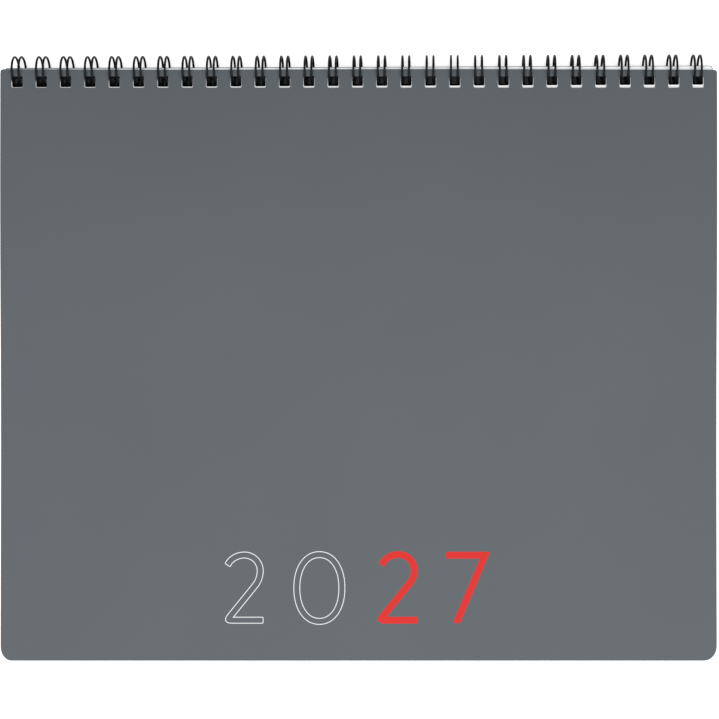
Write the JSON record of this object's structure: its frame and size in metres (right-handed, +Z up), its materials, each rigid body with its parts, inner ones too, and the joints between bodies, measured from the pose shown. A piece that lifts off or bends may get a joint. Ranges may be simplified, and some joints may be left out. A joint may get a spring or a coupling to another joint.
{
  "type": "desk planner",
  "caption": "Landscape desk planner: plastic covers and a block of punched pages, hung on a closed twin-loop wire along the long top edge.",
  "frame": {"origin": "bottom centre of the planner's bounding box, on the surface it lies on", "axes": "+X along the bound edge to the reader's right, +Y towards the wire, +Z up out of the front cover"},
  "size_m": [0.2495, 0.2119, 0.0108],
  "materials": {
    "cover_plastic": "grey polypropylene sheet with a fine matt grain",
    "paper": "uncoated white writing paper, trimmed edges",
    "coated_wire": "steel wire in a smooth black nylon coat"
  },
  "bodies": {
    "block": {"page_block": "paper", "wire_binding": "coated_wire"},
    "front": {"front_cover": "cover_plastic"},
    "back": {"back_cover": "cover_plastic"}
  },
  "joints": [
    {"name": "front_cover_turn", "type": "hinge", "parent": "block", "child": "front", "pos_m": [0, 0.10053, 0.00545], "axis": [-1, 0, 0], "range_deg": [0, 180]},
    {"name": "back_cover_turn", "type": "hinge", "parent": "block", "child": "back", "pos_m": [0, 0.10053, 0.00545], "axis": [1, 0, 0], "range_deg": [0, 180]}
  ]
}
